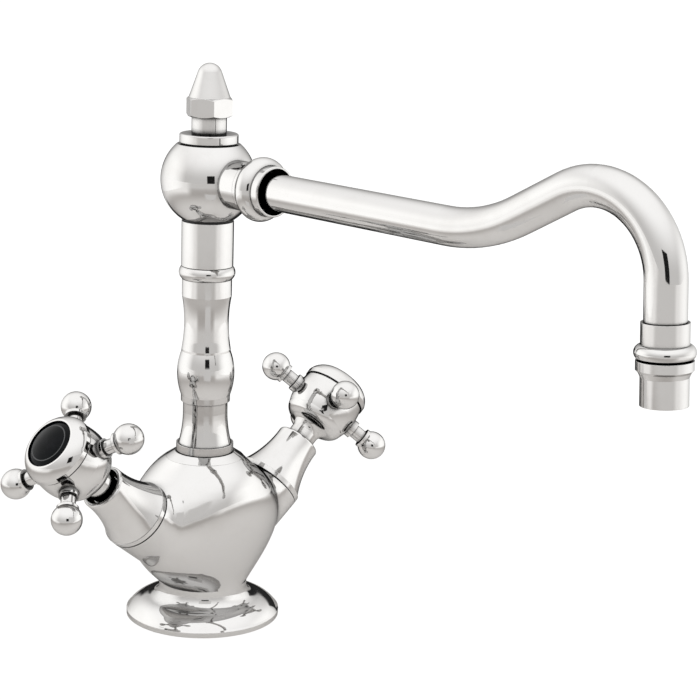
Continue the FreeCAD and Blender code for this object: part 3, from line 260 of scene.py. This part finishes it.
def paint_seam_shade(material, depth, darkest, shut, open_from):
    """Paints shade into a finish where less of the space within the depth is open than open_from."""
    tree = material.node_tree
    opening = add(tree, "AmbientOcclusion", {"Distance": depth}, samples=8)
    light_share = ramp(tree, opening, shut, open_from, dark=darkest, out="AO")
    height = toward(tree, add(tree, "TexCoord"), UP, "Object")
    off_floor = ramp(tree, height, RIM_BOTTOM, RIM_TOP, out="Value")
    darken(material, off_floor, light_share)


# Painted shade: a shallow pass for the seams, a deeper and weaker one for the corners.
paint_seam_shade(plating, depth=0.0036, darkest=0.05, shut=0.52, open_from=0.90)
paint_seam_shade(plating, depth=0.012, darkest=0.35, shut=0.42, open_from=0.80)
print("nodes in the plating:", len(plating.node_tree.nodes))

# %% [markdown]
# ## The inner metals
# Inside are a spigot and two spindles of raw brass, two cartridges, and screws and clips of steel.
# One brass could serve for all. The cartridges have their own, nearly black, as painted shade: they
# show in the gap under each handle, and the dark colour stands in for the shade there.

# %% Brass and steel
brass = marked_finish(
    "raw_brass", clean=(0.8, 0.6, 0.28), dulled=(0.6, 0.42, 0.2),
    roughness=(0.22, 0.38), patch_size=120, bump=0.15)
# Nearly black brass for the cartridges: painted shade for the gap under each handle.
shade_painted_brass = marked_finish(
    "shade_painted_brass", clean=(0.035, 0.028, 0.02), dulled=(0.02, 0.017, 0.014),
    roughness=(0.5, 0.7), patch_size=150, bump=0.2)
steel = marked_finish(
    "brushed_steel", clean=(0.62, 0.62, 0.61), dulled=(0.5, 0.5, 0.5),
    roughness=(0.25, 0.4), patch_size=300, bump=0.2)
print("metals:", brass.name, shade_painted_brass.name, steel.name)

# %% [markdown]
# ## Rubber, plastic, fibre and ceramic
# The seals are rubber, the slip washers by the ball black nylon, and the washers under the
# cartridges red fibre. The discs that shut the water off are lapped ceramic, and the nozzle holds a
# moulded insert. Each could have a tree of its own. All of them are a colour that is dulled in
# patches, though, so the same finish serves, with no metal in it and each with its own gloss.

# %% Finishes without metal
rubber = marked_finish(
    "seal_rubber", clean=(0.03, 0.03, 0.032), dulled=(0.06, 0.058, 0.055),
    roughness=(0.55, 0.75), patch_size=200, bump=0.3, metal=0)
black_nylon = marked_finish(
    "black_nylon", clean=(0.02, 0.02, 0.021), dulled=(0.04, 0.039, 0.038),
    roughness=(0.45, 0.6), patch_size=150, bump=0.1, metal=0)
fibre = marked_finish(
    "pressed_fibre", clean=(0.45, 0.1, 0.06), dulled=(0.3, 0.07, 0.05),
    roughness=(0.7, 0.85), patch_size=500, bump=0.4, metal=0)
ceramic = marked_finish(
    "lapped_ceramic", clean=(0.86, 0.84, 0.79), dulled=(0.8, 0.78, 0.72),
    roughness=(0.1, 0.2), patch_size=90, bump=0.03, metal=0)
insert = marked_finish(
    "moulded_insert", clean=(0.62, 0.63, 0.65), dulled=(0.52, 0.53, 0.55),
    roughness=(0.3, 0.45), patch_size=180, bump=0.12, metal=0)
print("inner finishes:", rubber.name, black_nylon.name, fibre.name, ceramic.name, insert.name)

# %% [markdown]
# ## Black glaze
# The index buttons are glazed black and slightly domed. A very dark colour with the usual shine
# mirrors so much of a white tent that it turns grey, so the shine is turned down until the glaze
# stays black and keeps only a trace of the tent.

# %% Black glaze of the index buttons
GLAZE_SHINE = 0.1

glaze = marked_finish(
    "black_glaze", clean=(0.003, 0.004, 0.005), dulled=(0.008, 0.009, 0.011),
    roughness=(0.05, 0.16), patch_size=160, bump=0.04, metal=0)
glaze.node_tree.nodes["Principled BSDF"].inputs["Specular IOR Level"].default_value = GLAZE_SHINE
print("glaze shine:", GLAZE_SHINE)

# %% [markdown]
# ## Dress the pieces
# The record of the part names a material slot for every piece. Each piece could be dressed by its
# name, but a table from slot to finish dresses them all, and a piece that is added later finds its
# finish the same way. Only the two cartridges depart from their slot, for their painted-shade brass.

# %% Give each piece its finish
FINISH = {
    "chrome": plating, "brass": brass, "steel": steel, "rubber": rubber, "nylon": black_nylon,
    "fibre": fibre, "disc_ceramic": ceramic, "flow_plastic": insert, "black_enamel": glaze,
}
OWN_FINISH = {"hot_headwork": shade_painted_brass, "cold_headwork": shade_painted_brass}

for subpart in frame["record"]["subparts"]:
    piece = nodes[subpart["node"]]
    finish = OWN_FINISH.get(subpart["node"], FINISH[subpart["material_slot"]])
    if not piece.material_slots:
        piece.data.materials.append(finish)
    for slot in piece.material_slots:
        slot.material = finish

# %% [markdown]
# ## The inlaid rings
# Each black index button has a thin grey ring let into its dome. A ring like this can be painted
# with a texture, but a modelled one catches the light. Its height has to follow the dome, so the
# dome is measured first, along the axis of the handle's joint.

# %% Measure the dome of a button
JOINTS = {joint["name"]: joint for joint in frame["record"]["behaviour"]["joints"]}
HORN_ROOT = Vector(JOINTS["hot_turn"]["pos_m"])
HORN_AXIS = {"hot_": Vector(JOINTS["hot_turn"]["axis"]), "cold_": Vector(JOINTS["cold_turn"]["axis"])}
RING_RADIUS = 0.0074
RING_WIDTH = 0.00055
DOME_DEPTH = 0.004
NEAREST_POINTS = 40


def dome_height(prefix, radius):
    """Height of a button's dome above the root of its horn, at a radius from the axis."""
    axis = HORN_AXIS[prefix]
    measured = []
    for vertex in nodes[prefix + "index_button"].data.vertices:
        spot = vertex.co - HORN_ROOT
        along = spot.dot(axis)
        away = (spot - axis * along).length
        measured.append((abs(away - radius), along))
    lowest = max(along for gap, along in measured) - DOME_DEPTH
    nearest = sorted(measured)[:NEAREST_POINTS]
    on_dome = [along for gap, along in nearest if along > lowest]
    return sum(on_dome) / len(on_dome)


inner_height = dome_height("hot_", RING_RADIUS)
outer_height = dome_height("hot_", RING_RADIUS + RING_WIDTH)
print("dome falls across the ring by", round((inner_height - outer_height) * 1000, 3), "mm")

# %% [markdown]
# ## Model one ring
# The ring starts as a circle. Its edges are extruded, spread outwards and lowered to where the dome
# is there, which makes a narrow cone. Solidify gives the band its thickness, half of it sunk into
# the dome, and Bevel softens the edges so that they catch the light.

# %% Extrude the band
RING_POINTS = 96

bpy.ops.object.select_all(action="DESELECT")
bpy.ops.mesh.primitive_circle_add(
    vertices=RING_POINTS, radius=RING_RADIUS, location=(0, 0, inner_height))
first_ring = bpy.context.object
bpy.ops.object.mode_set(mode="EDIT")
bpy.ops.mesh.select_all(action="SELECT")
bpy.ops.mesh.extrude_edges_move()
spread = (RING_RADIUS + RING_WIDTH) / RING_RADIUS
bpy.ops.transform.resize(value=(spread, spread, 1), center_override=(0, 0, inner_height))
bpy.ops.transform.translate(value=(0, 0, outer_height - inner_height))
bpy.ops.mesh.select_all(action="SELECT")
bpy.ops.mesh.normals_make_consistent(inside=False)
bpy.ops.object.mode_set(mode="OBJECT")
print("band faces:", len(first_ring.data.polygons))

# %% Thicken the band and soften its edges
RING_STAND = 0.00008

wall = first_ring.modifiers.new("wall", "SOLIDIFY")
wall.thickness = RING_STAND * 2
wall.offset = 0
soft = first_ring.modifiers.new("soft", "BEVEL")
soft.width = RING_STAND / 2
soft.segments = 2
for name in ("wall", "soft"):
    bpy.ops.object.modifier_apply(modifier=name)
bpy.ops.object.shade_smooth_by_angle()
print("ring faces:", len(first_ring.data.polygons))

# %% [markdown]
# ## Copy the ring and lay both
# The two buttons are alike, so the second ring is a copy with its own mesh. Each ring is leaned from
# upright to the axis of its horn and moved up to its button. Then its place is applied to its mesh,
# and it is told which body it turns with.

# %% Lay the rings on the buttons
ring_enamel = marked_finish(
    "ring_enamel", clean=(0.05, 0.053, 0.056), dulled=(0.03, 0.031, 0.033),
    roughness=(0.2, 0.35), patch_size=260, bump=0.05, metal=0)
bpy.ops.object.duplicate()
second_ring = bpy.context.object
for ring, prefix, body in ((first_ring, "hot_", "hot_valve"), (second_ring, "cold_", "cold_valve")):
    bpy.ops.object.select_all(action="DESELECT")
    ring.select_set(True)
    ring.name = prefix + "index_ring"
    ring.rotation_euler = UP.rotation_difference(HORN_AXIS[prefix]).to_euler()
    ring.location = HORN_ROOT + HORN_AXIS[prefix] * inner_height
    bpy.ops.object.transform_apply(location=True, rotation=True, scale=True)
    ring.data.materials.append(ring_enamel)
    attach(ring, body)
    print(ring.name, "faces:", len(ring.data.polygons))

# %% [markdown]
# ## The floor
# Polished metal is photographed on white paper. One white plane would do for the camera, but the
# plating mirrors the paper as it is lit: brighter by the foot and at the sides, and grey between.
# These painted light and shade tones are blended by the distance from the foot and by the heading,
# so no lamp has to be aimed.

# %% Lay the paper
FLOOR_SIZE = 8

bpy.ops.object.select_all(action="DESELECT")
bpy.ops.mesh.primitive_plane_add(size=FLOOR_SIZE, location=(0, 0, 0))
floor = bpy.context.object
floor.name = "paper_floor"
print("floor size:", tuple(round(v, 2) for v in floor.dimensions))

# %% Find the way around on the paper
FLAT_FRONT = Vector((TO_CAMERA.x, TO_CAMERA.y, 0)).normalized()
FLAT_RIGHT = Vector((TO_RIGHT.x, TO_RIGHT.y, 0)).normalized()
# Seen from the foot, these are cosines of the angle to the camera.
FRONT_ENDS = 0.84
SIDES_START = 0.62

paper, tree, paper_shader = new_material("white_paper")
floor.data.materials.append(paper)
spot = add(tree, "TexCoord")
reach = add(tree, "VectorMath", operation="LENGTH")
join(tree, spot, reach, "Object")
heading = add(tree, "VectorMath", operation="NORMALIZE")
join(tree, spot, heading, "Object")
past_foot = ramp(tree, reach, low=0.06, high=0.34, out="Value")
off_foot = ramp(tree, reach, low=0.24, high=0.5, out="Value")
far_off = ramp(tree, reach, low=0.36, high=0.9, out="Value")
aside = ramp(tree, toward(tree, heading, FLAT_FRONT), FRONT_ENDS, SIDES_START, out="Value")
print("on the paper, the camera is towards", tuple(round(v, 3) for v in FLAT_FRONT))

# %% Paint light and shade on the paper
# Painted light and shade: the paper's colour stands in for how it is lit.
PAINTED_LIGHT_AT_FOOT = (0.74, 0.725, 0.71)
PAINTED_SHADE_BETWEEN = (0.44, 0.42, 0.405)
PAINTED_TONE_FAR_OFF = (0.64, 0.63, 0.62)
PAINTED_LIGHT_AT_SIDES = (0.90, 0.89, 0.88)


def product(tree, first, second):
    """Multiplies the first outputs of two nodes."""
    node = add(tree, "Math", operation="MULTIPLY")
    join(tree, first, node)
    join(tree, second, node, 0, 1)
    return node


near_tone = colour_mix(tree, past_foot, PAINTED_LIGHT_AT_FOOT, PAINTED_SHADE_BETWEEN)
far_tone = colour_mix(tree, far_off, near_tone, PAINTED_TONE_FAR_OFF)
tone = colour_mix(tree, product(tree, aside, off_foot), far_tone, PAINTED_LIGHT_AT_SIDES)
join(tree, tone, paper_shader, "Result", "Base Color")
paper_shader.inputs["Roughness"].default_value = 1.0
paper_shader.inputs["Specular IOR Level"].default_value = 0.0
print("nodes in the paper:", len(tree.nodes))

# %% [markdown]
# ## White paper for the camera
# The camera should see the paper as clean white with only a breath of shadow. More light would
# whiten it, and would burn out the faucet too. Light Path tells the rays apart: the metal mirrors
# the toned paper, and rays from the camera see it under a veil of even white.

# %% Whiten the paper for the camera
VEIL_STRENGTH = 1.18
VEIL_SHARE = 0.78


def shader_mix(tree, first, second):
    """Blends two shaders by a share that is set or joined later."""
    node = add(tree, "MixShader")
    join(tree, first, node, 0, 1)
    join(tree, second, node, 0, 2)
    return node


veil = add(tree, "Emission", {"Strength": VEIL_STRENGTH})
veiled_paper = shader_mix(tree, paper_shader, veil)
veiled_paper.inputs[0].default_value = VEIL_SHARE
ray = add(tree, "LightPath")
direct = add(tree, "Math", operation="MAXIMUM")
join(tree, ray, direct, "Is Camera Ray", 0)
join(tree, ray, direct, "Is Transmission Ray", 1)
shown_paper = shader_mix(tree, paper_shader, veiled_paper)
join(tree, direct, shown_paper)
join(tree, shown_paper, tree.nodes["Material Output"], "Shader", "Surface")
print("the veil adds", round(VEIL_STRENGTH * VEIL_SHARE, 2))

# %% [markdown]
# ## The tent
# A tent of pale cloth stands over the paper. It could be a modelled dome. The world of the scene is
# simpler: white for the camera, and for the metal a dome that is greyer near the horizon than
# overhead, because the cloth hangs further from the lamps there.

# %% Hang the cloth
CLOTH_LOW = (0.57, 0.56, 0.55)
CLOTH_OVERHEAD = (1.02, 1.015, 1.01)
WHITE = (1, 1, 1)

world = bpy.data.worlds.new("light_tent")
world.use_nodes = True
scene.world = world
tree = world.node_tree
height = toward(tree, add(tree, "TexCoord"), UP, "Generated")
overhead = ramp(tree, height, low=0.05, high=0.92, out="Value")
cloth = colour_mix(tree, overhead, CLOTH_LOW, CLOTH_OVERHEAD)
shown_cloth = colour_mix(tree, add(tree, "LightPath"), cloth, WHITE, "Is Camera Ray")
background = tree.nodes["Background"]
join(tree, shown_cloth, background, "Result", "Color")
print("tent strength:", background.inputs["Strength"].default_value)

# %% [markdown]
# ## Soft boxes
# Plating shows its shape only where something bright stands next to something dark. Two soft boxes
# stand at the sides. Area lamps could take their place, but a card with a glow that fades towards
# its edges mirrors as a soft patch, as cloth over a lamp does. All cards are hidden from the camera.


# %% A card that faces the faucet
def around(azimuth, reach, height):
    """A place around the faucet, by its turn to the camera's right, its distance and its height."""
    angle = math.radians(azimuth)
    level_way = FLAT_FRONT * math.cos(angle) + FLAT_RIGHT * math.sin(angle)
    return level_way * reach + UP * height


def card(name, place, aim, width, height, material, only_mirrored=False):
    """A hidden card that faces its aim, and that is seen by mirrors alone if asked."""
    bpy.ops.object.select_all(action="DESELECT")
    bpy.ops.mesh.primitive_plane_add(size=1)
    plane = bpy.context.object
    plane.name = name
    plane.rotation_euler = (aim - place).to_track_quat("Z", "Y").to_euler()
    plane.location = place
    plane.scale = (width, height, 1)
    bpy.ops.object.transform_apply(location=True, rotation=True, scale=True)
    plane.data.materials.append(material)
    plane.visible_camera = False
    if only_mirrored:
        plane.visible_diffuse = False
        plane.visible_shadow = False
    print(name, "stands", round(place.length, 2), "m away")


print("to the camera's right:", [round(v, 3) for v in around(90, 1, 0)])


# %% Stand the soft boxes
def card_cloth(name, tone, soft_sides, soft_ends):
    """An even glow that fades out towards the card's edges."""
    material, tree, shader = new_material(name)
    tree.nodes.remove(shader)
    spot = add(tree, "TexCoord")
    split = add(tree, "SeparateXYZ")
    join(tree, spot, split, "UV")
    edges = []
    for axis, soft in (("X", soft_sides), ("Y", soft_ends)):
        inward = add(tree, "Math", {1: 0.5}, operation="PINGPONG")
        join(tree, split, inward, axis)
        edges.append(ramp(tree, inward, 0.0, soft))
    glow = add(tree, "Emission", {"Color": (*tone, 1)})
    faded = shader_mix(tree, add(tree, "BsdfTransparent"), glow)
    join(tree, product(tree, *edges), faded)
    join(tree, faded, tree.nodes["Material Output"], "Shader", "Surface")
    return material


LEFT_CENTRE = 0.175
RIGHT_CENTRE = 0.075

soft_box = card_cloth("soft_box_cloth", (1.12, 1.115, 1.1), soft_sides=0.42, soft_ends=0.36)
left_place = around(azimuth=-108, reach=0.52, height=LEFT_CENTRE)
card("left_soft_box", left_place, UP * LEFT_CENTRE, width=1.6, height=1.35, material=soft_box)
right_place = around(azimuth=108, reach=0.50, height=RIGHT_CENTRE)
card("right_soft_box", right_place, UP * RIGHT_CENTRE, width=1.5, height=0.85, material=soft_box)

# %% [markdown]
# ## The lens opening
# The lens looks into the tent through a square opening, and every ball of the faucet shows it as a
# small dark square. A hole in the world's cloth would need a mask on directions. A black card is
# plainer to place. It faces the ball under the finial and is seen by mirrors alone, so that it takes
# no light away.

# %% Place the lens opening
LENS_TURN = 10
LENS_RISE = math.radians(6.5)
LENS_REACH = 0.82
LENS_OPENING = 0.267
BALL = Vector(JOINTS["spout_swivel"]["pos_m"])

flag = card_cloth("black_flag", (0.012, 0.012, 0.012), soft_sides=0.03, soft_ends=0.03)
lens_way = around(LENS_TURN, reach=math.cos(LENS_RISE), height=math.sin(LENS_RISE))
card("lens_opening", BALL + lens_way * LENS_REACH, BALL, LENS_OPENING, LENS_OPENING, flag,
     only_mirrored=True)

# %% [markdown]
# ## Dark flags behind
# Photographers stand black flags behind bright metal. Mirrored at a glancing angle, they draw a thin
# dark line along its edges and under the spout. Lines drawn on the outline would not follow the
# shape. Two cards do: one stands behind the faucet, and one lies on the paper there as painted shade,
# a dark sheet seen only in mirrors.

# %% Stand the flags
FLAG_CENTRE = 0.08
FLAG_WIDTH = 0.72
FLAG_HEIGHT = 0.32
FLOOR_FLAG = 0.50
ON_PAPER = 0.002

dark_flag = card_cloth("rear_flag", (0.03, 0.03, 0.03), soft_sides=0.12, soft_ends=0.2)
standing = around(azimuth=174, reach=0.60, height=FLAG_CENTRE)
card("rear_flag", standing, UP * FLAG_CENTRE, FLAG_WIDTH, FLAG_HEIGHT, dark_flag,
     only_mirrored=True)
# Painted shade: a dark sheet on the paper behind the faucet, seen only in mirrors.
lying = around(azimuth=176, reach=0.38, height=ON_PAPER)
card("painted_floor_shade", lying, lying + UP, FLOOR_FLAG, FLOOR_FLAG, dark_flag,
     only_mirrored=True)

# %% [markdown]
# ## A slip of paper
# The lens opening would also mirror in the front of the body, where the photograph has no dark
# square. The opening could be made smaller, but then the squares on the balls would be too small. A
# slip of paper held near the body hides it from that spot alone, and its soft edges leave no trace.

# %% Hold up the slip
SLIP_PLACE = Vector((-0.081, -0.117, 0.084))
BODY_SPOT = Vector((-0.021, -0.018, 0.0515))
SLIP_WIDTH = 0.088
SLIP_HEIGHT = 0.078

slip = card_cloth("paper_slip", (0.58, 0.57, 0.56), soft_sides=0.2, soft_ends=0.2)
card("paper_slip", SLIP_PLACE, BODY_SPOT, SLIP_WIDTH, SLIP_HEIGHT, slip, only_mirrored=True)
